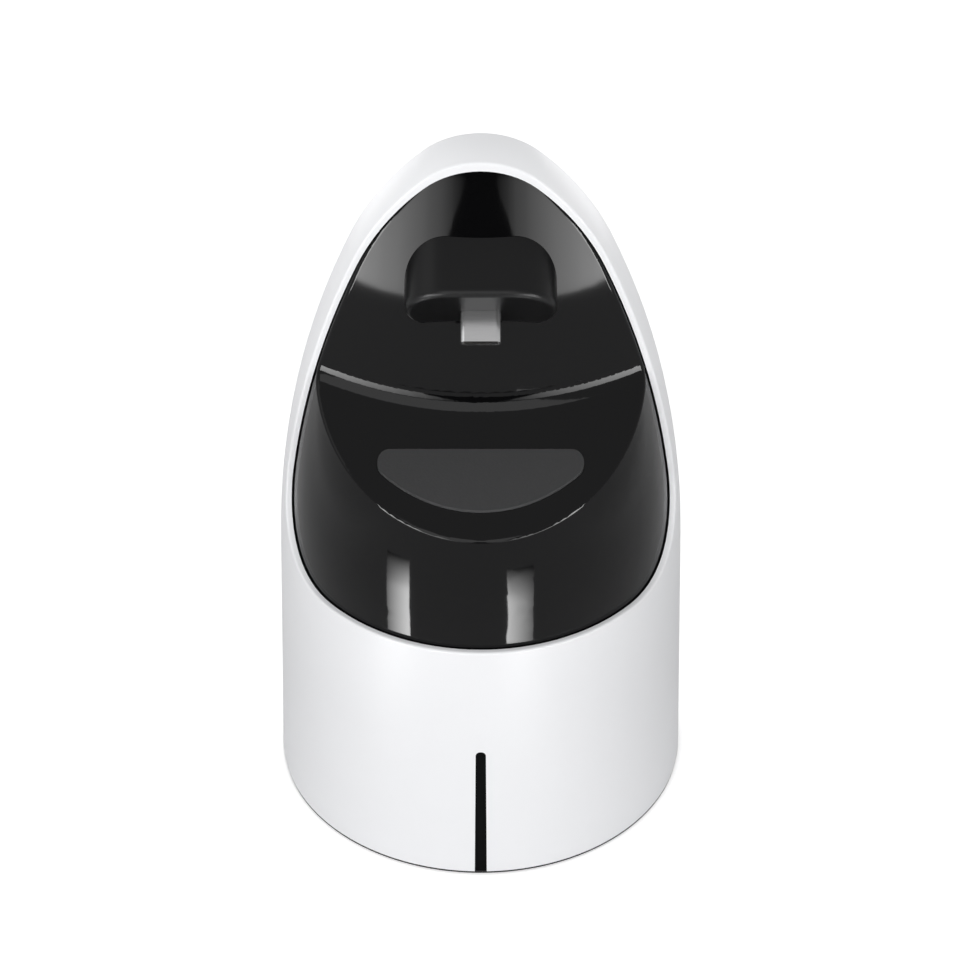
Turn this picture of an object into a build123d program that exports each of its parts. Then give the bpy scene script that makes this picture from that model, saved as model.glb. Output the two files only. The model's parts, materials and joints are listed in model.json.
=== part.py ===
"""Charging dock for two gamepads: a white bullet-shaped sleeve round a glossy black core, on a weighted base.

The dock stands on the origin, +Z up, and its front, with the indicator strip, looks along -Y.
"""

from build123d import *
import math
import os

# Sleeve: a round collar that turns into a half-elliptic arch
shell_radius = 41.3
rim_height = 61.0
arch_rise = 100.5
dome_lap = 2.0
collar_wall = 1.2
crown_wall = 2.1
crown_depth = 9.8
arch_flare = 0.8
sweep_radius = 19.5
side_share = 0.815
side_turn = 21.5
shoulder_turn = 45.5
rim_round = 0.5

# Black core: drum, sloped seats and the shields under the arch
core_gap = 0.3
fascia_wall = 2.0
skirt_depth = 16.0
seat_rise = 26.0
seat_slope = 30.0
shield_reach = 12.5
shield_waist = 35.0
shield_side_radius = 95.0
shield_rise_radius = 222.0
seat_blend = 6.0
panel_round = 1.0

# Soft pads let into the seats
pad_edge_margin = 7.5
pad_depth = 11.5
pad_corner = 2.5
pad_thickness = 1.0
pad_pocket = 0.5
pad_gap = 0.1

# Plugs, the blocks that carry them and their boards
plug_drop = 31.0
plug_width = 8.25
plug_thickness = 2.4
plug_wall = 0.3
plug_reach = 6.65
plug_seat = 5.0
plug_fit = 0.05
insert_recess = 0.8
insert_slot_width = 6.4
insert_slot_height = 0.7
insert_slot_depth = 5.0
tail_width = 6.0
tail_height = 1.0
block_width = 31.0
block_height = 20.0
block_corner = 9.3
block_proud = 4.0
block_round = 1.5
block_gap = 0.1
neck_width = 14.0
neck_height = 7.0
neck_corner = 1.5
plug_board_width = 35.0
plug_board_height = 13.0
plug_board_thickness = 1.0
plug_board_offset = 3.8
plug_board_screw_inset = 3.0
plug_boss_diameter = 5.0

# Base stack, upwards from the table
foot_proud = 0.5
foot_diameter = 11.0
foot_thickness = 1.5
foot_inset = 6.8
foot_gap = 0.1
plate_edge = 0.5
plate_thickness = 3.0
plate_inset = 0.1
plate_gap = 0.2
ballast_thickness = 6.0
ballast_gap = 0.5
ballast_screw_spread = 12.0
ballast_boss_diameter = 5.0
tower_inset = 6.8
tower_angle = 28.0
tower_diameter = 8.0
tower_height = 20.5
tower_floor = 2.2
post_diameter = 7.0
boss_inset = 4.2
boss_angle = 30.0
boss_diameter = 6.0
boss_height = 12.5
boss_rib = 1.6

# Main board and what is soldered on it
board_height = 8.5
board_thickness = 1.6
board_gap = 0.6
standoff_diameter = 5.0
standoff_inset = 1.6
tab_width = 14.0
tab_margin = 2.0
chip_side = 5.0
chip_height = 0.9
inductor_side = 6.5
inductor_height = 3.0
capacitor_diameter = 5.0
capacitor_height = 5.4
capacitor_edge = 0.4
part_pitch = 9.0
socket_width = 8.0
socket_depth = 4.6
socket_height = 5.4
socket_offset = 15.0
harness_diameter = 2.2
harness_bend = 40.0
harness_straight = 26.0

# Power inlet at the back
inlet_width = 8.94
inlet_height = 3.26
inlet_length = 7.3
inlet_wall = 0.3
inlet_setback = 0.8
inlet_gap = 0.35
tongue_width = 6.7
tongue_height = 0.7
tongue_length = 4.45
tongue_recess = 0.8

# Indicator strip at the front
slot_top = 34.0
slot_top_width = 2.1
slot_bottom_width = 2.6
slot_gap = 0.1
pipe_recess = 0.25
pipe_gap = 0.05
pipe_lap = 4.0
pipe_flange_width = 10.0
pipe_flange_depth = 1.4
pipe_rail = 0.8
led_count = 4
led_side = 1.6
led_height = 0.8
led_gap = 0.2
header_width = 7.6
header_height = 2.5
pin_count = 3
pin_side = 0.6

# Screws
screw_shank = 2.4
screw_pilot = 2.5
screw_clearance = 3.0
screw_head = 5.0
screw_head_height = 1.6
screw_head_room = 0.3
screw_length = 10.0
washer_head = 7.0
short_screw_length = 5.5
small_shank = 1.5
small_pilot = 1.6
small_clearance = 1.9
small_head = 3.2
small_head_height = 1.1
small_screw_length = 4.0

# Places that follow from the sizes above
FRONT = -1
REAR = 1
STANDING = (Align.CENTER, Align.CENTER, Align.MIN)
margin = 10.0
end_share = 0.48
edge_share = 0.2
edge_search = 1.0
total_height = rim_height + arch_rise
collar_inner = shell_radius - collar_wall
core_radius = collar_inner - core_gap
spring_height = rim_height - dome_lap
dome_rise = arch_rise + dome_lap
core_rise = dome_rise - crown_wall - core_gap
skirt_bottom = rim_height - skirt_depth
seat_front_height = rim_height + seat_rise
shield_waist_height = rim_height + shield_waist
plug_height = total_height - plug_drop
shell_bottom = foot_proud + plate_edge
plate_top = foot_proud + plate_thickness
tower_top = plate_top + tower_height
tower_ring = collar_inner - tower_inset
boss_ring = collar_inner - boss_inset
foot_ring = collar_inner - foot_inset
board_radius = tower_ring - tower_diameter / 2 - board_gap
standoff_ring = board_radius - standoff_inset
ballast_radius = standoff_ring - standoff_diameter / 2 - ballast_gap
ballast_top = plate_top + ballast_thickness
board_bottom = plate_top + board_height
board_top = board_bottom + board_thickness
inlet_mid_height = board_top + inlet_height / 2
flange_back = collar_inner - pipe_flange_depth
indicator_face = flange_back - led_height - led_gap
indicator_back = indicator_face - plug_board_thickness
indicator_top = slot_top + pipe_lap
plug_tip = block_proud + plug_reach


def polar_spots(radius, angles):
    """Points on a circle round the dock's axis, by their angles from +X."""
    turns = [math.radians(angle) for angle in angles]
    return [(radius * math.cos(turn), radius * math.sin(turn)) for turn in turns]


rear_towers = polar_spots(tower_ring, (90 - tower_angle, 90 + tower_angle))
front_towers = polar_spots(tower_ring, (-90 - tower_angle, tower_angle - 90))
tower_spots = rear_towers + front_towers
boss_spots = polar_spots(boss_ring, (boss_angle, 180 - boss_angle, 180 + boss_angle, -boss_angle))
foot_spots = polar_spots(foot_ring, (0, 90, 180, 270))
standoff_spots = polar_spots(standoff_ring, (0, 180, 270))
ballast_screw_spots = [(-ballast_screw_spread, 0), (ballast_screw_spread, 0)]


def copies(shape, spots, height=0):
    """Copies of a shape that stands at several spots."""
    return [Pos(x, y, height) * shape for x, y in spots]


def rod(diameter, low, high):
    """An upright round bar between two heights."""
    return Pos(0, 0, low) * Cylinder(diameter / 2, high - low, align=STANDING)


def half_space(side, start=0.0):
    """Everything on one side of the dock, from a distance in front of or behind its mid-plane."""
    room = 3 * total_height
    return Pos(0, side * (start + room / 2), 0) * Box(room, room, room)


def screw(head, head_height, shank, length):
    """A pan-head screw that points up, with the seat of its head at the origin."""
    return rod(head, -head_height, 0) + rod(shank, 0, length)


# Sleeve


def oval_arcs(radius, rise):
    """Three tangent arcs up to the crown, each as its centre, radius and the angles it spans.

    Centres are measured out from the dock's axis and up from the dome's foot. The side arc is given,
    and the shoulder and crown arcs are the two that then end level on the axis.
    """
    side = side_share * rise**2 / radius
    cos_1, sin_1 = math.cos(math.radians(side_turn)), math.sin(math.radians(side_turn))
    cos_2, sin_2 = math.cos(math.radians(shoulder_turn)), math.sin(math.radians(shoulder_turn))
    out_left = radius - side * (1 - cos_1)
    up_left = rise - side * sin_1
    share = (cos_1 - cos_2) * (1 - sin_2) - cos_2 * (sin_2 - sin_1)
    shoulder = (out_left * (1 - sin_2) - up_left * cos_2) / share
    crown = (up_left * (cos_1 - cos_2) - out_left * (sin_2 - sin_1)) / share
    shoulder_centre = (radius - side + (side - shoulder) * cos_1, (side - shoulder) * sin_1)
    return [
        ((radius - side, 0), side, 0, side_turn),
        (shoulder_centre, shoulder, side_turn, shoulder_turn),
        ((0, rise - crown), crown, shoulder_turn, 90),
    ]


def bullet(radius, rise, bottom):
    """A cylinder with an oval dome on it, whose seam lies at the front."""
    plane = Plane((0, 0, spring_height), x_dir=(0, -1, 0), z_dir=(-1, 0, 0))
    side, shoulder, crown = oval_arcs(radius, rise)
    low = bottom - spring_height
    curve = Polyline((0, low), (radius, low), (radius, 0))
    for centre, arc_radius, start, end in (side, shoulder):
        curve += CenterArc(centre, arc_radius, start, end - start)
    tip = curve @ 1
    curve += Polyline((tip.X, tip.Y), (0, tip.Y), (0, low))
    body = revolve(make_face(plane * curve), Axis.Z)
    (_, crown_height), crown_radius, _, _ = crown
    ball = Rotation(90, 0, 0) * Rotation(0, 0, -90) * Sphere(crown_radius)
    above = Pos(0, 0, spring_height + tip.Y) * Box(3 * radius, 3 * radius, rise, align=STANDING)
    return body + (Pos(0, 0, spring_height + crown_height) * ball & above)


def off_bullet(point, radius, rise):
    """How far a point lies from a bullet's surface."""
    out, up = math.hypot(point.X, point.Y), point.Z - spring_height
    if up <= 0:
        return abs(out - radius)
    gaps = []
    for (centre_out, centre_up), arc_radius, start, end in oval_arcs(radius, rise):
        turn = math.degrees(math.atan2(up - centre_up, out - centre_out))
        if start - 0.1 < turn < end + 0.1:
            gaps.append(abs(math.hypot(out - centre_out, up - centre_up) - arc_radius))
    return min(gaps, default=radius)


def opening_edges(solid, radius, rise, lowest):
    """The edges above a height where cuts leave the bullet's surface, without the joints of its own arcs."""
    found = []
    for edge in solid.edges():
        points = [edge.position_at(share) for share in (0.2, 0.5, 0.8)]
        heights = [point.Z for point in points]
        off_surface = max(off_bullet(point, radius, rise) for point in points)
        seam = all(abs(point.X) < 0.01 for point in points)
        level = max(heights) - min(heights) < 0.01
        beside_leg = all(abs(point.Y) < abs(point.X) * 0.75 for point in points)
        joint = level and (beside_leg or heights[0] > rim_height + 0.01)
        if off_surface < 1e-3 and min(heights) > lowest and not seam and not joint:
            found.append(edge)
    return found


def arch_reach(height):
    """Distance of the arch's front edge from the mid-plane at a height."""
    return crown_depth / 2 + (total_height - height) * math.tan(math.radians(arch_flare))


def scoop(side):
    """What is cut away in front of or behind the arch, down to the rim."""
    above = total_height + margin
    beyond = shell_radius + margin
    corner = (side * arch_reach(rim_height), rim_height)
    outline = [corner, (side * beyond, rim_height), (side * beyond, above), (side * arch_reach(above), above)]
    profile = make_face(Plane.YZ * Polyline(*outline, close=True))
    inner_corner = profile.vertices().sort_by_distance((0, *corner))[0]
    return extrude(fillet(inner_corner, sweep_radius), beyond, both=True)


def slot_prism(gap, low):
    """The tapered slot in the front of the collar, drawn in by a gap all round."""
    top_half = slot_top_width / 2 - gap
    low_half = slot_bottom_width / 2 - gap
    outline = [(-low_half, low), (low_half, low), (top_half, slot_top - gap), (-top_half, slot_top - gap)]
    profile = make_face(Plane.XZ * Polyline(*outline, close=True))
    profile = fillet(profile.vertices().sort_by(Axis.Z)[2:], 2 * end_share * top_half)
    return extrude(profile, shell_radius + margin, dir=(0, -1, 0))


def inlet_plane(distance):
    """Upright plane across the inlet at a distance behind the dock's axis, with Z along the inlet."""
    return Plane((0, distance, inlet_mid_height), x_dir=(1, 0, 0), z_dir=(0, 1, 0))


def inlet_prism(gap):
    """The rounded outline of the inlet, drawn out by a gap, through the back of the collar."""
    high = inlet_height + 2 * gap
    outline = RectangleRounded(inlet_width + 2 * gap, high, end_share * high)
    return extrude(inlet_plane(0) * outline, shell_radius + margin)


def shell_boss(x, y):
    """A screw boss inside the collar, with a rib to the wall."""
    angle = math.degrees(math.atan2(y, x))
    boss = rod(boss_diameter, plate_top, plate_top + boss_height)
    rib_length = boss_inset + collar_wall / 2
    rib = Pos(rib_length / 2, 0, plate_top) * Box(rib_length, boss_rib, boss_height, align=STANDING)
    return Pos(x, y, 0) * Rotation(0, 0, angle) * (boss + rib)


def outer_shell():
    sleeve = bullet(shell_radius, dome_rise, shell_bottom)
    sleeve -= bullet(collar_inner, dome_rise - crown_wall, shell_bottom - margin)
    sleeve -= scoop(FRONT) + scoop(REAR)
    sleeve -= slot_prism(0, shell_bottom - margin)
    sleeve -= inlet_prism(inlet_gap)
    for x, y in boss_spots:
        sleeve += shell_boss(x, y)
    sleeve -= copies(rod(screw_pilot, plate_top - margin, plate_top + screw_length), boss_spots)
    outside = opening_edges(sleeve, shell_radius, dome_rise, rim_height - edge_search)
    return fillet(outside, rim_round)


# Black core


def seat_plane(side, inset):
    """The plane of a sloped seat, sunk by an inset."""
    slope = math.radians(seat_slope)
    normal = Vector(0, side * math.sin(slope), math.cos(slope))
    start = Vector(0, side * core_radius, seat_front_height) - normal * inset
    return Plane(start, x_dir=(1, 0, 0), z_dir=normal)


def above_seat(side, inset):
    room = 3 * shell_radius
    return seat_plane(side, inset) * Box(room, 2 * room, room, align=STANDING)


def shield_face(height):
    """Distance of a shield's face from the mid-plane, on its centre line."""
    climb = height - shield_waist_height
    return shield_reach - shield_rise_radius + math.sqrt(shield_rise_radius**2 - climb**2)


def shield_barrel(inset, side):
    """The barrel whose face is the shield's gently domed front."""
    axis_y = side * (shield_reach - shield_side_radius)
    profile_plane = Plane((0, axis_y, 0), x_dir=(0, -side, 0), z_dir=(-side, 0, 0))
    height = total_height - shield_waist_height + margin
    radius = shield_rise_radius - inset
    half_angle = math.degrees(math.asin(height / radius))
    centre = shield_side_radius - shield_rise_radius
    stave = CenterArc((centre, shield_waist_height), radius, -half_angle, 2 * half_angle)
    low, high = stave @ 0, stave @ 1
    heads = Polyline((high.X, high.Y), (0, high.Y), (0, low.Y), (low.X, low.Y))
    return revolve(make_face(profile_plane * (stave + heads)), Axis((0, axis_y, 0), (0, 0, 1)))


def notch(inset, side):
    """The room over a seat: above the sloped plane and in front of the shield."""
    block = above_seat(side, inset) - shield_barrel(inset, side)
    seat_at_shield = seat_front_height + (core_radius - shield_reach) * math.tan(math.radians(seat_slope))
    crease = block.edges().sort_by_distance((0, side * shield_reach, seat_at_shield))[0]
    return fillet(crease, seat_blend + inset)


def core_form(inset, bottom):
    form = bullet(core_radius - inset, core_rise - inset, bottom)
    return form - notch(inset, FRONT) - notch(inset, REAR)


def hollow_core():
    core = core_form(0, skirt_bottom)
    outline = opening_edges(core, core_radius, core_rise, rim_height + edge_search)
    core = fillet(outline, panel_round)
    return core - core_form(fascia_wall, skirt_bottom - margin)


def plug_plane(side):
    """Centred where a plug's axis crosses the shield's face, with Z along the plug and Y up."""
    slope = math.radians(seat_slope)
    outward = (0, side * math.cos(slope), -math.sin(slope))
    return Plane((0, side * shield_face(plug_height), plug_height), x_dir=(-side, 0, 0), z_dir=outward)


def plug_prism(side, width, height, corner, start, end):
    """A rounded bar along a plug's axis, from one distance to another in front of the shield's face."""
    plane = plug_plane(side)
    return extrude(plane.offset(start) * RectangleRounded(width, height, corner), end - start)


plug_run = shield_face(plug_height) - plug_board_offset
board_mid_height = plug_height + plug_run * math.tan(math.radians(seat_slope))
plug_screw_reach = plug_board_width / 2 - plug_board_screw_inset
plug_depth = plug_board_offset / math.cos(math.radians(seat_slope)) + margin


def plug_boss_bar(side, diameter, start, length):
    """Two round bars across the dock, at the screws of a plug board."""
    plane = Plane((0, side * start, board_mid_height), x_dir=(1, 0, 0), z_dir=(0, side, 0))
    bar = Cylinder(diameter / 2, length, align=STANDING)
    return [plane * Pos(x, 0, 0) * bar for x in (-plug_screw_reach, plug_screw_reach)]


def pad_prism(side, gap):
    """Plan of a seat pad, drawn out by a gap: the seat's own outline with a margin."""
    radius = core_radius - pad_edge_margin + gap
    window = Rectangle(2 * radius, 2 * radius)
    plan = Circle(radius) & Pos(0, side * (2 * radius - pad_depth - 2 * gap)) * window
    plan = fillet(plan.vertices(), pad_corner + gap)
    return extrude(plan, total_height)


def fascia(core, side):
    half = core & half_space(side)
    post = rod(post_diameter, tower_top, total_height)
    spots = front_towers if side == FRONT else rear_towers
    for column in copies(post, spots):
        half += column - above_seat(side, fascia_wall / 2)
    boss_length = shield_face(plug_height) + margin
    for bar in plug_boss_bar(side, plug_boss_diameter, plug_board_offset, boss_length):
        half += bar & shield_barrel(fascia_wall / 2, side)
    half -= copies(rod(screw_pilot, tower_top - margin, tower_top + screw_length), spots)
    half -= plug_boss_bar(side, small_pilot, plug_board_offset - margin, margin + small_screw_length)
    clear = 2 * core_gap
    neck_room = plug_prism(side, neck_width + clear, neck_height + clear, neck_corner, -plug_depth, margin)
    half -= neck_room & half_space(side, plug_board_offset)
    return half - (above_seat(side, pad_pocket) & pad_prism(side, pad_gap))


def seat_pad(side):
    return (above_seat(side, pad_pocket) - above_seat(side, pad_pocket - pad_thickness)) & pad_prism(side, 0)


# Plugs


def plug_block(side):
    body = plug_prism(side, block_width, block_height, block_corner, -block_height, block_proud)
    front = body.faces().sort_by(Axis((0, 0, 0), plug_plane(side).z_dir))[-1]
    body = fillet(front.edges(), block_round) - shield_barrel(-block_gap, side)
    neck = plug_prism(side, neck_width, neck_height, neck_corner, -plug_depth, block_proud / 2)
    body += neck & half_space(side, plug_board_offset)
    wide, high = plug_width + 2 * plug_fit, plug_thickness + 2 * plug_fit
    body -= plug_prism(side, wide, high, end_share * high, block_proud - plug_seat, plug_tip)
    wide, high = tail_width + 2 * plug_fit, tail_height + 2 * plug_fit
    return body - plug_prism(side, wide, high, edge_share * high, -plug_depth, plug_tip)


def plug_shell(side):
    start = block_proud - plug_seat
    wide, high = plug_width - 2 * plug_wall, plug_thickness - 2 * plug_wall
    tube = plug_prism(side, plug_width, plug_thickness, end_share * plug_thickness, start, plug_tip)
    return tube - plug_prism(side, wide, high, end_share * high, start - margin, plug_tip + margin)


def plug_insert(side):
    high = plug_thickness - 2 * plug_wall - 2 * plug_fit
    wide = plug_width - 2 * plug_wall - 2 * plug_fit
    tip = plug_tip - insert_recess
    body = plug_prism(side, wide, high, end_share * high, block_proud - plug_seat, tip)
    slot_round = edge_share * insert_slot_height
    slot_floor = tip - insert_slot_depth
    body -= plug_prism(side, insert_slot_width, insert_slot_height, slot_round, slot_floor, tip + margin)
    tail_end = block_proud - plug_seat
    tail = plug_prism(side, tail_width, tail_height, edge_share * tail_height, -plug_depth, tail_end)
    return body + (tail & half_space(side, plug_board_offset))


def plug_board(side):
    middle = side * (plug_board_offset - plug_board_thickness / 2)
    board = Pos(0, middle, board_mid_height) * Box(plug_board_width, plug_board_thickness, plug_board_height)
    return board - plug_boss_bar(side, small_clearance, plug_board_offset - margin, 2 * margin)


def plug_board_screws():
    fastener = screw(small_head, small_head_height, small_shank, small_screw_length - small_head_height / 2)
    placed = []
    for side in (FRONT, REAR):
        seat = side * (plug_board_offset - plug_board_thickness)
        plane = Plane((0, seat, board_mid_height), x_dir=(1, 0, 0), z_dir=(0, side, 0))
        placed += [plane * Pos(x, 0, 0) * fastener for x in (-plug_screw_reach, plug_screw_reach)]
    return Compound(placed)


# Base


def base_plate():
    plate = rod(2 * (shell_radius - plate_inset), foot_proud, shell_bottom)
    plate += rod(2 * (collar_inner - plate_gap), foot_proud, plate_top)
    plate += copies(rod(tower_diameter, plate_top, tower_top), tower_spots)
    plate += copies(rod(standoff_diameter, plate_top, board_bottom), standoff_spots)
    plate += copies(rod(ballast_boss_diameter, plate_top, ballast_top), ballast_screw_spots)
    head_bore = screw_head + 2 * screw_head_room
    counterbore_top = foot_proud + screw_head_height + screw_head_room
    plate -= copies(rod(screw_clearance, 0, plate_top), boss_spots)
    plate -= copies(rod(head_bore, 0, counterbore_top), boss_spots)
    plate -= copies(rod(screw_clearance, 0, tower_top), tower_spots)
    plate -= copies(rod(head_bore, 0, tower_top - tower_floor), tower_spots)
    plate -= copies(rod(small_pilot, board_bottom - board_height, board_bottom), standoff_spots)
    plate -= copies(rod(screw_pilot, ballast_top - ballast_thickness, ballast_top), ballast_screw_spots)
    foot_room = rod(foot_diameter + 2 * foot_gap, 0, foot_thickness)
    return plate - copies(foot_room, foot_spots)


def foot_pads():
    pad = chamfer(rod(foot_diameter, 0, foot_thickness).edges().sort_by(Axis.Z)[0], foot_proud / 2)
    return Compound(copies(pad, foot_spots))


def ballast_plate():
    plate = rod(2 * ballast_radius, plate_top, ballast_top)
    return plate - copies(rod(ballast_boss_diameter + 2 * foot_gap, 0, total_height), ballast_screw_spots)


def ballast_screws():
    fastener = Rotation(180, 0, 0) * screw(washer_head, screw_head_height, screw_shank, short_screw_length)
    return Compound(copies(fastener, ballast_screw_spots, ballast_top))


def shell_screws():
    fastener = screw(screw_head, screw_head_height, screw_shank, screw_length)
    return Compound(copies(fastener, boss_spots, foot_proud + screw_head_height + screw_head_room))


def fascia_screws():
    fastener = screw(screw_head, screw_head_height, screw_shank, screw_length)
    return Compound(copies(fastener, tower_spots, tower_top - tower_floor))


# Main board


def main_board():
    tab_end = collar_inner - tab_margin
    front_end = indicator_back - tab_margin / 2
    plan = Circle(board_radius)
    plan += Pos(0, tab_end / 2) * Rectangle(tab_width, tab_end)
    plan += Pos(0, -front_end / 2) * Rectangle(tab_width, front_end)
    board = extrude(Pos(0, 0, board_bottom) * plan, board_thickness)
    return board - copies(rod(small_clearance, 0, total_height), standoff_spots)


def board_screws():
    fastener = Rotation(180, 0, 0) * screw(small_head, small_head_height, small_shank, small_screw_length)
    return Compound(copies(fastener, standoff_spots, board_top))


def charge_chips():
    chip = Box(chip_side, chip_side, chip_height, align=STANDING)
    return Compound(copies(chip, [(-part_pitch, 0), (part_pitch, 0)], board_top))


def inductors():
    body = Box(inductor_side, inductor_side, inductor_height, align=STANDING)
    body = fillet(body.edges().filter_by(Axis.Z), inductor_side / 5)
    return Compound(copies(body, [(-part_pitch, -part_pitch), (part_pitch, part_pitch)], board_top))


def capacitors():
    can = Cylinder(capacitor_diameter / 2, capacitor_height, align=STANDING)
    can = chamfer(can.edges().sort_by(Axis.Z)[-1], capacitor_edge)
    spots = [(-2 * part_pitch, 0), (2 * part_pitch, 0), (-part_pitch, part_pitch), (part_pitch, -part_pitch)]
    return Compound(copies(can, spots, board_top))


def harness_sockets():
    body = Box(socket_width, socket_depth, socket_height, align=STANDING)
    return Compound(copies(body, [(0, -socket_offset), (0, socket_offset)], board_top))


def harness(side):
    """Wires in one sleeve, from the socket on the main board up to the lower edge of a plug board."""
    low = board_top + socket_height
    top = board_mid_height - plug_board_height / 2
    across = side * (plug_board_offset - plug_board_thickness / 2)
    start = (0, side * socket_offset, low)
    lower_bend = (0, side * socket_offset, low + harness_straight)
    upper_bend = (0, across, top - harness_straight)
    path = FilletPolyline(start, lower_bend, upper_bend, (0, across, top), radius=harness_bend)
    section = Plane(start, z_dir=(0, 0, 1)) * Circle(harness_diameter / 2)
    return sweep(section, path)


# Inlet


def inlet_shell():
    plane = inlet_plane(shell_radius - inlet_setback - inlet_length)
    outline = RectangleRounded(inlet_width, inlet_height, end_share * inlet_height)
    tube = extrude(plane * outline, inlet_length)
    wide, high = inlet_width - 2 * inlet_wall, inlet_height - 2 * inlet_wall
    bore = extrude(plane.offset(inlet_wall) * RectangleRounded(wide, high, end_share * high), inlet_length)
    return tube - bore


def inlet_tongue():
    plane = inlet_plane(shell_radius - inlet_setback - inlet_length + inlet_wall)
    wide, high = inlet_width - 2 * inlet_wall - 2 * plug_fit, inlet_height - 2 * inlet_wall - 2 * plug_fit
    base_length = inlet_length - inlet_wall - tongue_length - tongue_recess
    base = extrude(plane * RectangleRounded(wide, high, end_share * high), base_length)
    return base + plane * Box(tongue_width, tongue_height, base_length + tongue_length, align=STANDING)


# Indicator


def light_pipe():
    flange_low = plate_top + pipe_gap
    flange_high = indicator_top - flange_low
    flange = Pos(0, 0, flange_low) * Box(pipe_flange_width, 3 * shell_radius, flange_high, align=STANDING)
    flange &= rod(2 * (collar_inner - pipe_gap), 0, total_height)
    strip = slot_prism(slot_gap, shell_bottom + pipe_gap)
    strip &= rod(2 * (shell_radius - pipe_recess), 0, total_height)
    strip -= rod(2 * collar_inner, 0, flange_low)
    pipe = (flange + strip) & half_space(FRONT, flange_back)
    rail = Pos(0, -(flange_back + indicator_face) / 2, flange_low) * Box(
        pipe_rail, flange_back - indicator_face, flange_high, align=STANDING
    )
    reach = (pipe_flange_width - pipe_rail) / 2
    return pipe + Pos(-reach, 0, 0) * rail + Pos(reach, 0, 0) * rail


def indicator_board():
    middle = -(indicator_face + indicator_back) / 2
    return Pos(0, middle, plate_top) * Box(
        pipe_flange_width, plug_board_thickness, indicator_top - plate_top, align=STANDING
    )


def indicator_leds():
    led = Pos(0, -indicator_face - led_height / 2, 0) * Box(led_side, led_height, led_side)
    pitch = (slot_top - plate_top) / led_count
    return Compound([Pos(0, 0, plate_top + pitch * (place + 0.5)) * led for place in range(led_count)])


def indicator_header():
    """A row of pins from the main board's front tab to the back of the indicator board."""
    front = indicator_back - tab_margin / 2
    body = Box(header_width, header_height, header_height, align=STANDING)
    block = Pos(0, -front + header_height / 2, board_top) * body
    pin_length = header_height / 2 + tab_margin / 2
    pin_height = board_top + header_height / 2
    pin = Pos(0, -indicator_back + pin_length / 2, pin_height) * Box(pin_side, pin_length, pin_side)
    pitch = header_width / pin_count
    for place in range(pin_count):
        block += Pos(pitch * (place - (pin_count - 1) / 2), 0, 0) * pin
    return block


core = hollow_core()
nodes = {
    "outer_shell": outer_shell(),
    "front_fascia": fascia(core, FRONT),
    "rear_fascia": fascia(core, REAR),
    "front_seat_pad": seat_pad(FRONT),
    "rear_seat_pad": seat_pad(REAR),
    "front_plug_block": plug_block(FRONT),
    "rear_plug_block": plug_block(REAR),
    "front_plug_shell": plug_shell(FRONT),
    "rear_plug_shell": plug_shell(REAR),
    "front_plug_insert": plug_insert(FRONT),
    "rear_plug_insert": plug_insert(REAR),
    "front_plug_board": plug_board(FRONT),
    "rear_plug_board": plug_board(REAR),
    "plug_board_screws": plug_board_screws(),
    "base_plate": base_plate(),
    "foot_pads": foot_pads(),
    "ballast_plate": ballast_plate(),
    "ballast_screws": ballast_screws(),
    "shell_screws": shell_screws(),
    "fascia_screws": fascia_screws(),
    "main_board": main_board(),
    "board_screws": board_screws(),
    "charge_chips": charge_chips(),
    "inductors": inductors(),
    "capacitors": capacitors(),
    "harness_sockets": harness_sockets(),
    "front_harness": harness(FRONT),
    "rear_harness": harness(REAR),
    "inlet_shell": inlet_shell(),
    "inlet_tongue": inlet_tongue(),
    "light_pipe": light_pipe(),
    "indicator_board": indicator_board(),
    "indicator_leds": indicator_leds(),
    "indicator_header": indicator_header(),
}

os.makedirs("parts", exist_ok=True)
for name, solid in nodes.items():
    export_step(solid, f"parts/{name}.step")
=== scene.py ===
import json
import math

import bmesh
import bpy
from mathutils import Matrix, Vector


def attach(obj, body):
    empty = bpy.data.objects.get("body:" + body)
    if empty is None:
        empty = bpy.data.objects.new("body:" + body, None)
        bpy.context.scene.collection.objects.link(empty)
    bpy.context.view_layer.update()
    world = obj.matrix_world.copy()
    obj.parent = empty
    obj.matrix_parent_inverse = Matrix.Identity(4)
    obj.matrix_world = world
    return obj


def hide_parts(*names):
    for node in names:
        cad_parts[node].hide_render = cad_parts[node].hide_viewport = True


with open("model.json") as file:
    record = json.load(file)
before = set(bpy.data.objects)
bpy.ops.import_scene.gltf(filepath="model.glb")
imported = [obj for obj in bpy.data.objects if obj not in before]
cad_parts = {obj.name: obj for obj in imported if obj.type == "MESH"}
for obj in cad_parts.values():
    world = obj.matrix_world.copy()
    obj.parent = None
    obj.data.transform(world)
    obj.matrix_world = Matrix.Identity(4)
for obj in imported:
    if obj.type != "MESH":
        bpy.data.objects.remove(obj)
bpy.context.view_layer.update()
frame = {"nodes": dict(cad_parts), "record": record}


# Base plate
# The moulded floor of the dock, whose edge is the thin dark line under the collar.
# Black ABS with a fine spark-eroded texture, screwed on from below.


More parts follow.
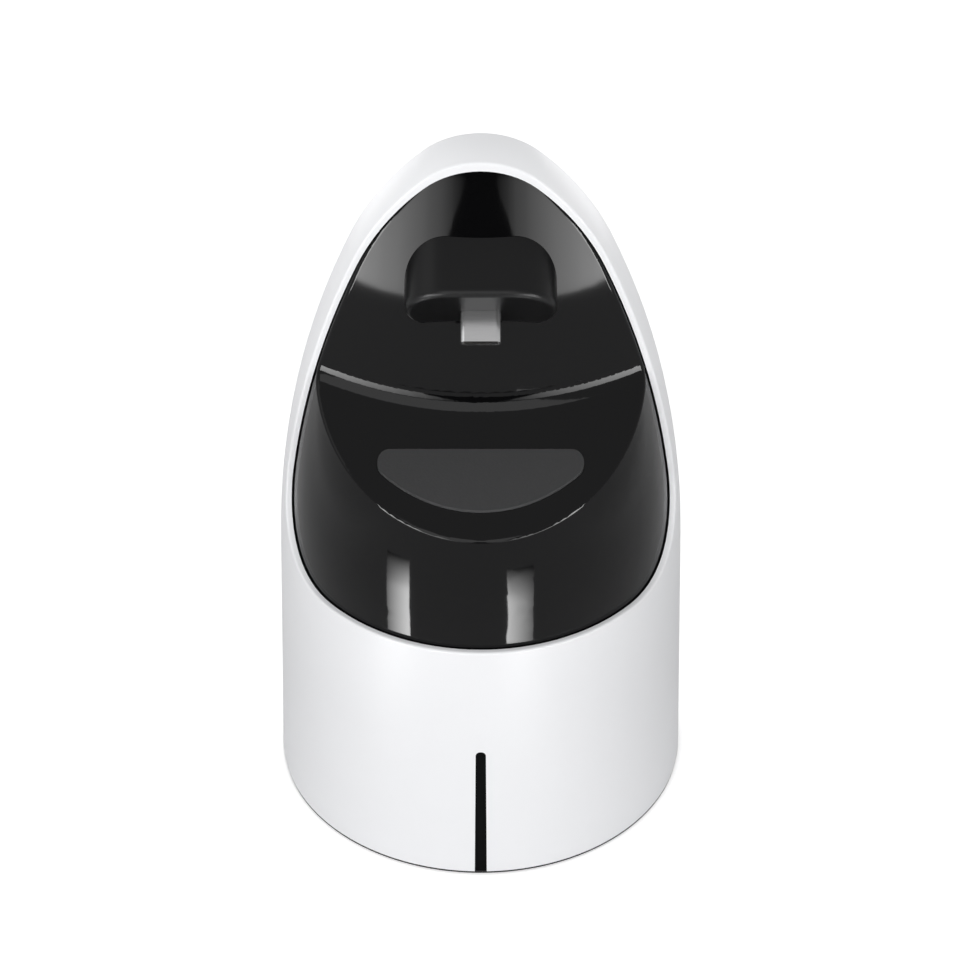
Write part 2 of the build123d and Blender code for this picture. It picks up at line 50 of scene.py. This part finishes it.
class Wire:
    """An output socket in a material; arithmetic on it adds Math nodes."""

    def __init__(self, tree, socket):
        self.tree = tree
        self.socket = socket

    def node(self, kind, settings, inputs, output=0):
        """Adds any node: its settings first, then a value or a link for each of its sockets."""
        made = self.tree.nodes.new("ShaderNode" + kind)
        for name, value in settings.items():
            setattr(made, name, value)
        for key, value in inputs.items():
            if isinstance(value, Wire):
                self.tree.links.new(value.socket, made.inputs[key])
            else:
                made.inputs[key].default_value = value
        return Wire(self.tree, made.outputs[output])

    def math(self, operation, first, second):
        return self.node("Math", {"operation": operation}, {0: first, 1: second})

    def __add__(self, other):
        return self.math("ADD", self, other)

    def __radd__(self, other):
        return self.math("ADD", other, self)

    def __sub__(self, other):
        return self.math("SUBTRACT", self, other)

    def __rsub__(self, other):
        return self.math("SUBTRACT", other, self)

    def __mul__(self, other):
        return self.math("MULTIPLY", self, other)

    def __rmul__(self, other):
        return self.math("MULTIPLY", other, self)

    def between(self, low, high):
        """A colour from low to high as the value goes from nothing to one."""
        colours = {0: self, 6: (*low, 1), 7: (*high, 1)}
        return self.node("Mix", {"data_type": "RGBA"}, colours, 2)

    def noise(self, size, detail=2.0):
        """Smooth random values with features of about a size in metres."""
        return self.node("TexNoise", {}, {"Vector": self, "Scale": 1 / size, "Detail": detail})

    def feed(self, shader, name):
        self.tree.links.new(self.socket, shader.inputs[name])


def new_finish(name, **even):
    """A material, its shader with the values that are even all over, and the Object coordinates."""
    material = bpy.data.materials.new(name)
    material.use_nodes = True
    tree = material.node_tree
    shader = tree.nodes["Principled BSDF"]
    for key, value in even.items():
        shader.inputs[key.replace("_", " ")].default_value = value
    return material, shader, Wire(tree, tree.nodes.new("ShaderNodeTexCoord").outputs["Object"])


def moulded(name, dark, light, roughness, grain, depth, **even):
    """Moulded plastic: a slow drift of colour and gloss, and the grain of the mould as fine bumps."""
    material, shader, place = new_finish(name, **even)
    drift = place.noise(0.03)
    texture = place.noise(grain, 4.0)
    drift.between(dark, light).feed(shader, "Base Color")
    (roughness * 0.9 + drift * (roughness * 0.1) + texture * (roughness * 0.1)).feed(shader, "Roughness")
    bump = place.node("Bump", {}, {"Strength": 1.0, "Distance": depth, "Height": texture})
    bump.feed(shader, "Normal")
    return material


def dress(material, *nodes):
    """Gives CAD nodes their finish."""
    for node in nodes:
        for slot in frame["nodes"][node].material_slots:
            slot.material = material


base_black = moulded(
    "base_black",
    dark=(0.01, 0.01, 0.011),
    light=(0.015, 0.015, 0.016),
    roughness=0.55,
    grain=0.0004,
    depth=0.00003,
    Specular_IOR_Level=0.3,
)
dress(base_black, "base_plate")


# Feet
# Four round pads that keep the dock from sliding on a table.
# Dark grey rubber, punched from sheet and glued into wells in the base plate.

foot_rubber = moulded(
    "foot_rubber",
    dark=(0.03, 0.03, 0.032),
    light=(0.045, 0.045, 0.047),
    roughness=0.8,
    grain=0.0006,
    depth=0.00005,
)
dress(foot_rubber, "foot_pads")


# Ballast
# A punched steel disc that keeps the dock from tipping, held by two washer-head screws.
# Bare rolled steel, with the rolling direction along X.


def rolled_steel(name, dark, light, roughness, along, across):
    """Metal with fine lines of polish in one direction."""
    material, shader, place = new_finish(name, Metallic=1.0)
    stretched = place.node("Mapping", {}, {"Vector": place, "Scale": (1 / along, 1 / across, 1 / across)})
    lines = stretched.node("TexNoise", {}, {"Vector": stretched, "Scale": 1.0, "Detail": 4.0})
    lines.between(dark, light).feed(shader, "Base Color")
    (lines * (roughness * 0.4) + roughness * 0.8).feed(shader, "Roughness")
    bump = place.node("Bump", {}, {"Strength": 0.4, "Distance": 0.00001, "Height": lines})
    bump.feed(shader, "Normal")
    return material


ballast_steel = rolled_steel(
    "ballast_steel",
    dark=(0.36, 0.36, 0.37),
    light=(0.5, 0.5, 0.51),
    roughness=0.35,
    along=0.02,
    across=0.0003,
)
dress(ballast_steel, "ballast_plate")


# Screws
# Pan-head screws of zinc-plated steel: up through the base plate into the sleeve and the core, and down or
# across into the boards. Each is a turned profile with a tapered cross recess, at the place of its CAD screw.


def add_to_scene(name, data):
    """A new object at the origin, linked to the scene."""
    made = bpy.data.objects.new(name, data)
    bpy.context.scene.collection.objects.link(made)
    return made


def add_piece(name, shape, material, replaced=None):
    """Turns a finished bmesh into a piece of the dock, with creases where faces meet at an angle."""
    bmesh.ops.recalc_face_normals(shape, faces=shape.faces)
    for face in shape.faces:
        face.smooth = True
    mesh = bpy.data.meshes.new(name)
    shape.to_mesh(mesh)
    shape.free()
    mesh.set_sharp_from_angle(angle=math.radians(35))
    mesh.materials.append(material)
    piece = add_to_scene(name, mesh)
    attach(piece, "root")
    if replaced:
        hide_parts(replaced)


def solid_boxes(node):
    """The corners of each solid in a CAD node."""
    shape = bmesh.new()
    shape.from_mesh(frame["nodes"][node].data)
    bmesh.ops.remove_doubles(shape, verts=shape.verts, dist=1e-6)
    left, boxes = set(shape.verts), []
    while left:
        found, edge = set(), {left.pop()}
        while edge:
            found |= edge
            edge = {link.other_vert(vert) for vert in edge for link in vert.link_edges} - found
        left -= found
        places = [vert.co for vert in found]
        low, high = (Vector([pick(axis) for axis in zip(*places)]) for pick in (min, max))
        boxes.append((low, high))
    shape.free()
    return boxes


def screw_shape(head, head_height, shank, length):
    """A screw that points up, with the top of its head at the origin."""
    shape = bmesh.new()
    flat = 0.6 * head
    tip = 0.4 * shank
    profile = [(flat, 0), (0.85 * head, 0.12 * head_height), (0.97 * head, 0.4 * head_height)]
    profile += [(head, 0.7 * head_height), (head, head_height), (shank, head_height)]
    profile += [(shank, length - shank), (tip, length), (0, length)]
    verts = [shape.verts.new((radius, 0, height)) for radius, height in profile]
    edges = [shape.edges.new(pair) for pair in zip(verts, verts[1:])]
    turn = {"cent": (0, 0, 0), "axis": (0, 0, 1), "angle": math.tau, "steps": 32, "use_merge": True}
    bmesh.ops.spin(shape, geom=verts + edges, **turn)
    bmesh.ops.remove_doubles(shape, verts=shape.verts, dist=1e-7)
    arm, half, depth = 0.5 * head, 0.11 * head, 0.55 * head_height
    corners = []
    for quarter in range(4):
        turned = Matrix.Rotation(quarter * math.pi / 2, 3, "Z")
        corners += [turned @ Vector(corner) for corner in ((half, half, 0), (half, arm, 0), (-half, arm, 0))]
    rim = [shape.verts.new(corner) for corner in corners]
    floor = [shape.verts.new((corner.x * 0.75, corner.y * 0.75, depth)) for corner in corners]
    around = list(zip(rim, rim[1:] + rim[:1], floor[1:] + floor[:1], floor))
    mouth = [shape.edges.new((first, second)) for first, second, _, _ in around]
    circle = [edge for edge in shape.edges if edge.is_boundary]
    bmesh.ops.triangle_fill(shape, use_beauty=True, edges=circle + mouth)
    for wall in around:
        shape.faces.new(wall)
    shape.faces.new(floor)
    return shape


def add_screws(node, points, head_height, shank):
    """Screws in place of a CAD node's; points gives the way each one points from the middle of its solid."""
    group = bmesh.new()
    for low, high in solid_boxes(node):
        middle, size = (low + high) / 2, high - low
        way = Vector(points(middle))
        length = abs(size.dot(way))
        head = (size - way * size.dot(way)).length / math.sqrt(8)
        one = bpy.data.meshes.new("screw")
        shape = screw_shape(head, head_height, shank, length)
        turned = way.to_track_quat("Z", "Y").to_matrix().to_4x4()
        shape.transform(Matrix.Translation(middle - way * length / 2) @ turned)
        shape.to_mesh(one)
        shape.free()
        group.from_mesh(one)
        bpy.data.meshes.remove(one)
    add_piece("cross_" + node, group, screw_steel, node)


def upwards(middle):
    return (0, 0, 1)


def downwards(middle):
    return (0, 0, -1)


def outwards(middle):
    return (0, math.copysign(1, middle.y), 0)


screw_steel = rolled_steel(
    "screw_steel",
    dark=(0.32, 0.32, 0.33),
    light=(0.42, 0.42, 0.43),
    roughness=0.28,
    along=0.001,
    across=0.0002,
)
large_head, large_shank = 0.0016, 0.0012
small_head, small_shank = 0.0011, 0.00075
add_screws("shell_screws", upwards, large_head, large_shank)
add_screws("fascia_screws", upwards, large_head, large_shank)
add_screws("ballast_screws", downwards, large_head, large_shank)
add_screws("board_screws", downwards, small_head, small_shank)
add_screws("plug_board_screws", outwards, small_head, small_shank)


# Circuit boards
# The main charging board, the two plug boards and the upright indicator board.
# Glass-fibre board under green solder mask, with copper tracks showing as slightly lighter lines.


def solder_mask(name, dark, light, track):
    """A board under solder mask, with its tracks as raised cells of a given size."""
    material, shader, place = new_finish(name, Coat_Weight=0.3)
    cells = place.node("TexBrick", {}, {"Vector": place, "Scale": 1 / track, "Mortar Size": 0.03}, 1)
    weave = place.noise(0.0005)
    (cells * 0.7 + weave * 0.3).between(dark, light).feed(shader, "Base Color")
    (0.45 - cells * 0.15).feed(shader, "Roughness")
    bump = place.node("Bump", {}, {"Strength": 0.5, "Distance": 0.00003, "Height": cells})
    bump.feed(shader, "Normal")
    return material


circuit_board = solder_mask(
    "circuit_board",
    dark=(0.015, 0.09, 0.04),
    light=(0.05, 0.2, 0.09),
    track=0.004,
)
dress(circuit_board, "main_board", "front_plug_board", "rear_plug_board", "indicator_board")


# Parts on the boards
# Charging chips and shielded coils in black epoxy, capacitors in bare cans, and the natural nylon sockets
# and light sources; a black pin row joins the main board to the indicator board.

chip_black = moulded(
    "chip_black",
    dark=(0.012, 0.012, 0.012),
    light=(0.02, 0.02, 0.02),
    roughness=0.6,
    grain=0.0002,
    depth=0.00002,
)
dress(chip_black, "charge_chips", "inductors")
can_aluminium = rolled_steel(
    "can_aluminium",
    dark=(0.7, 0.7, 0.71),
    light=(0.8, 0.8, 0.81),
    roughness=0.3,
    along=0.0004,
    across=0.002,
)
dress(can_aluminium, "capacitors")
socket_white = moulded(
    "socket_white",
    dark=(0.72, 0.71, 0.66),
    light=(0.8, 0.79, 0.75),
    roughness=0.4,
    grain=0.0005,
    depth=0.00001,
)
dress(socket_white, "harness_sockets", "indicator_leds")
header_black = moulded(
    "header_black",
    dark=(0.015, 0.015, 0.015),
    light=(0.022, 0.022, 0.022),
    roughness=0.5,
    grain=0.0003,
    depth=0.00001,
)
dress(header_black, "indicator_header")


# Harnesses
# The wires that lead from the sockets on the main board up to each plug board.
# They run in a braided black sleeve.


def braid(name, dark, light, pitch):
    """A sleeve of fine crossing strands."""
    material, shader, place = new_finish(name)
    turned = {"Vector": place, "Rotation": (0.0, 0.0, math.radians(45))}
    weave = place.node("Mapping", {}, turned)
    strands = weave.node("TexChecker", {}, {"Vector": weave, "Scale": 1 / pitch}, 1)
    strands.between(dark, light).feed(shader, "Base Color")
    (0.75 - strands * 0.15).feed(shader, "Roughness")
    bump = place.node("Bump", {}, {"Strength": 0.6, "Distance": 0.00008, "Height": strands})
    bump.feed(shader, "Normal")
    return material


harness_black = braid(
    "harness_black",
    dark=(0.012, 0.012, 0.012),
    light=(0.03, 0.03, 0.03),
    pitch=0.0006,
)
dress(harness_black, "front_harness", "rear_harness")


# Black core
# Two half shells that meet in the dock's mid-plane: drum, sloped seat and the shield under the arch.
# Piano-black ABS from a polished mould, fixed by screws that come up through the base.

black_gloss = moulded(
    "black_gloss",
    dark=(0.002, 0.002, 0.0022),
    light=(0.003, 0.003, 0.0033),
    roughness=0.06,
    grain=0.02,
    depth=0.000002,
    Specular_IOR_Level=0.2,
)
dress(black_gloss, "front_fascia", "rear_fascia")


# Seat pads
# Thin soft pads that give the sloped seats some grip.
# Matt black silicone, moulded to shape and let into shallow pockets in the seats.

seat_rubber = moulded(
    "seat_rubber",
    dark=(0.01, 0.01, 0.0105),
    light=(0.016, 0.016, 0.017),
    roughness=0.75,
    grain=0.0005,
    depth=0.00004,
)
dress(seat_rubber, "front_seat_pad", "rear_seat_pad")


# Plug blocks
# Rounded carriers on the shields, each with a plug in its sloping front.
# Satin black plastic, moulded in one piece and seated on the shield.

plug_block_black = moulded(
    "plug_block_black",
    dark=(0.004, 0.004, 0.0043),
    light=(0.006, 0.006, 0.0064),
    roughness=0.32,
    grain=0.0004,
    depth=0.000008,
    Specular_IOR_Level=0.2,
)
dress(plug_block_black, "front_plug_block", "rear_plug_block")


# Plugs and inlet
# The two charging plugs, and the power inlet low in the back of the collar.
# Drawn steel shells, nickel plated, round moulded black contact carriers.

plug_steel = rolled_steel(
    "plug_steel",
    dark=(0.55, 0.55, 0.56),
    light=(0.66, 0.66, 0.66),
    roughness=0.24,
    along=0.004,
    across=0.0002,
)
dress(plug_steel, "front_plug_shell", "rear_plug_shell", "inlet_shell")
plug_insert_black = moulded(
    "plug_insert_black",
    dark=(0.012, 0.012, 0.012),
    light=(0.02, 0.02, 0.02),
    roughness=0.5,
    grain=0.0003,
    depth=0.00001,
)
dress(plug_insert_black, "front_plug_insert", "rear_plug_insert", "inlet_tongue")


# Contacts
# Two rows of gold-plated springs in the slot of each plug, and the same rows on the faces of the tongue
# in the inlet. Stamped strips, pressed into the carriers from behind.

contact_pitch = 0.0005
contact_width = 0.00025
contact_thickness = 0.00008
contact_count = 12
contact_gold = rolled_steel(
    "contact_gold",
    dark=(0.6, 0.4, 0.14),
    light=(0.72, 0.5, 0.2),
    roughness=0.25,
    along=0.002,
    across=0.0001,
)


def add_contacts(name, mount, off_centre, start, length):
    """Contacts at a distance on either side of a connector's mid-plane, by their depth behind its mouth."""
    place = next(entry for entry in frame["record"]["mounts"] if entry["name"] == mount)
    mouth, outward = Vector(place["pos_m"]), Vector(place["axis"])
    across = Vector((1, 0, 0))
    square = outward.cross(across)
    turned = Matrix((across, outward, square)).transposed().to_4x4()
    size = Matrix.Diagonal((contact_width, length, contact_thickness, 1))
    shape = bmesh.new()
    for number in range(contact_count):
        aside = across * contact_pitch * (number - (contact_count - 1) / 2)
        for side in (-1, 1):
            spot = mouth - outward * (start + length / 2) + aside + square * side * off_centre
            bmesh.ops.create_cube(shape, size=1.0, matrix=Matrix.Translation(spot) @ turned @ size)
    add_piece(name, shape, contact_gold)


plug_row = {"off_centre": 0.00032, "start": 0.0011, "length": 0.004}
inlet_row = {"off_centre": 0.00036, "start": 0.0013, "length": 0.0035}
add_contacts("front_plug_contacts", "front_plug", **plug_row)
add_contacts("rear_plug_contacts", "rear_plug", **plug_row)
add_contacts("inlet_contacts", "power_inlet", **inlet_row)


# Indicator strip
# The strip in the front of the collar that shows the charge, dark while nothing charges.
# A smoked black light pipe, moulded to fill its slot.

smoked_pipe = moulded(
    "smoked_pipe",
    dark=(0.002, 0.002, 0.0022),
    light=(0.003, 0.003, 0.0033),
    roughness=0.15,
    grain=0.004,
    depth=0.00001,
    Specular_IOR_Level=0.05,
)
dress(smoked_pipe, "light_pipe")


# Sleeve
# One white moulding with a round collar below and an arch over the top, pushed over the core from above.
# Cool white ABS with a soft gloss and a barely visible mould grain.

white_shell = moulded(
    "white_shell",
    dark=(0.78, 0.785, 0.8),
    light=(0.81, 0.815, 0.83),
    roughness=0.42,
    grain=0.0006,
    depth=0.000002,
    Specular_IOR_Level=0.2,
)
dress(white_shell, "outer_shell")


# Studio
# A plain white floor that keeps the dock's shadow, a white surround and two large soft lamps. Reflector cards
# in front, and dimmer ones behind, only show in what is glossy. Two black flags beside the dock shade the
# edges of its white collar.

aim = Vector((0.00087, 0.0, 0.07103))
lamp_distance = 1.5
lamp_size = 1.0


def add_lamp(name, azimuth, elevation, power):
    """A square soft lamp that looks at the dock; azimuth is to the right of straight ahead."""
    data = bpy.data.lights.new(name, "AREA")
    data.size = lamp_size
    data.energy = power
    lamp = add_to_scene(name, data)
    turn, rise = math.radians(azimuth), math.radians(elevation)
    away = Vector((math.sin(turn) * math.cos(rise), -math.cos(turn) * math.cos(rise), math.sin(rise)))
    lamp.location = aim + away * lamp_distance
    lamp.rotation_euler = (-away).to_track_quat("-Z", "Y").to_euler()
    lamp.visible_camera = False


add_lamp("front_lamp", azimuth=-8.0, elevation=24.0, power=5.3)
add_lamp("left_lamp", azimuth=-80.0, elevation=35.0, power=1.9)


def add_panel(name, corners):
    """A flat four-cornered sheet in the studio, out of the camera's sight."""
    mesh = bpy.data.meshes.new(name)
    shape = bmesh.new()
    shape.faces.new([shape.verts.new(corner) for corner in corners])
    shape.to_mesh(mesh)
    shape.free()
    panel = add_to_scene(name, mesh)
    panel.visible_camera = False
    return panel


def add_card(name, inner_low, inner_high, outer_low, outer_high, inner_glow, outer_glow, fade=1e-6):
    """A reflector that only glossy surfaces see, with its own glow at its inner and outer edge.

    Towards its top it fades out over the given height.
    """
    card = add_panel(name, (inner_low, outer_low, outer_high, inner_high))
    glow = bpy.data.materials.new(name)
    glow.use_nodes = True
    tree = glow.node_tree
    tree.nodes.clear()
    place = Wire(tree, tree.nodes.new("ShaderNodeTexCoord").outputs["Object"])
    across = place.node("SeparateXYZ", {}, {0: place}, 0)
    height = place.node("SeparateXYZ", {}, {0: place}, 2)
    share = (across - inner_low[0]) * (1 / (outer_low[0] - inner_low[0]))
    fading = (outer_high[2] - height) * (1 / fade)
    shown = fading.math("MINIMUM", fading, 1.0)
    grey = (share * (outer_glow - inner_glow) + inner_glow) * shown
    light = place.node("Emission", {}, {"Color": grey, "Strength": 1.0})
    light.feed(tree.nodes.new("ShaderNodeOutputMaterial"), "Surface")
    card.data.materials.append(glow)
    card.visible_diffuse = False
    card.visible_shadow = False


card_foot, card_tip, card_outside = 0.08, 0.02, 0.3
card_inner_distance, card_outer_distance, dark_distance = 0.31, 0.26, 0.32
card_inner_height, card_height = 0.115, 0.125
card_inner_glow, card_outer_glow, rear_share = 5.0, 24.0, 0.3
dark_half_width = 0.1
for way, end, share in ((-1, "front", 1.0), (1, "rear", rear_share)):
    inner_place, outer_place, dark_place = (
        way * distance for distance in (card_inner_distance, card_outer_distance, dark_distance)
    )
    for side, hand in ((-1, "left"), (1, "right")):
        add_card(
            f"{end}_{hand}_card",
            inner_low=(side * card_foot, inner_place, 0.0),
            inner_high=(side * card_tip, inner_place, card_inner_height),
            outer_low=(side * card_outside, outer_place, 0.0),
            outer_high=(side * card_outside, outer_place, card_height),
            inner_glow=card_inner_glow * share,
            outer_glow=card_outer_glow * share,
        )
    dark_edges = [(x, dark_place, z) for x in (-dark_half_width, dark_half_width) for z in (0.0, card_height)]
    add_card(end + "_dark_card", *dark_edges, inner_glow=0.0, outer_glow=0.0)

strip_low, strip_high, strip_fade, strip_outer_glow = 0.012, 0.048, 0.015, 5.0
for name, inner, outer, strip_inner_glow in (
    ("left_strip", (-0.0548, -0.0814), (-0.0693, -0.0677), 28.0),
    ("right_strip", (0.021, -0.0975), (0.0416, -0.0899), 25.0),
):
    edges = [(*inner, strip_low), (*inner, strip_high), (*outer, strip_low), (*outer, strip_high)]
    add_card(name, *edges, strip_inner_glow, strip_outer_glow, strip_fade)

flag_black = moulded(
    "flag_black",
    dark=(0.002, 0.002, 0.002),
    light=(0.004, 0.004, 0.004),
    roughness=0.9,
    grain=0.01,
    depth=0.00001,
)
flag_side, flag_near, flag_far, flag_low, flag_high = 0.17, -0.1, 0.25, 0.03, 0.095
for side, name in ((-1, "left"), (1, "right")):
    ends = [(flag_near, flag_low), (flag_far, flag_low), (flag_far, flag_high), (flag_near, flag_high)]
    flag = add_panel(name + "_flag", [(side * flag_side, *end) for end in ends])
    flag.data.materials.append(flag_black)
    flag.visible_glossy = False

floor_size = 1.5
floor_glow = 0.5
mesh = bpy.data.meshes.new("floor")
shape = bmesh.new()
bmesh.ops.create_grid(shape, x_segments=1, y_segments=1, size=floor_size)
shape.to_mesh(mesh)
shape.free()
floor = add_to_scene("floor", mesh)
floor_white, floor_shader, floor_place = new_finish("floor_white", Roughness=0.9, Specular_IOR_Level=0.0)
floor_place.noise(0.2).between((0.86, 0.86, 0.865), (0.88, 0.88, 0.885)).feed(floor_shader, "Base Color")
path = floor_white.node_tree.nodes.new("ShaderNodeLightPath")
camera_ray = Wire(floor_white.node_tree, path.outputs["Is Camera Ray"])
floor_shader.inputs["Emission Strength"].default_value = 1.0
(camera_ray * floor_glow).feed(floor_shader, "Emission Color")
floor.data.materials.append(floor_white)

world = bpy.data.worlds.new("surround")
bpy.context.scene.world = world
world.use_nodes = True
sky = world.node_tree
background = sky.nodes["Background"]
sky_path = sky.nodes.new("ShaderNodeLightPath")
seen = Wire(sky, sky_path.outputs["Is Camera Ray"])
mirrored = Wire(sky, sky_path.outputs["Is Glossy Ray"])
through = Wire(sky, sky_path.outputs["Is Transmission Ray"])
direction = Wire(sky, sky.nodes.new("ShaderNodeTexCoord").outputs["Generated"])
upward = direction.node("SeparateXYZ", {}, {0: direction}, 2)
low_light, overhead_light, mirrored_light = 1.49, 0.45, 0.65
given = low_light - upward.math("MAXIMUM", upward, 0.0) * (low_light - overhead_light)
shown = seen.math("MAXIMUM", seen, through)
unseen = given * (1 - mirrored) + mirrored * mirrored_light
(shown + unseen * (1 - shown)).feed(background, "Color")


# Camera
# It looks down on the front of the dock from far off, so that upright lines stay nearly parallel.
# The width of its frame is taken at the dock's axis.

elevation = math.radians(40.6)
distance = 3.0
sensor = 36.0
frame_width = 0.2
lens = bpy.data.cameras.new("camera")
lens.sensor_width = sensor
lens.lens = sensor * distance / frame_width
lens.clip_end = 20.0
camera = add_to_scene("camera", lens)
away = Vector((0.0, -math.cos(elevation), math.sin(elevation)))
camera.location = aim + away * distance
camera.rotation_euler = (-away).to_track_quat("-Z", "Y").to_euler()
bpy.context.scene.camera = camera
bpy.context.scene.view_settings.view_transform = "Standard"
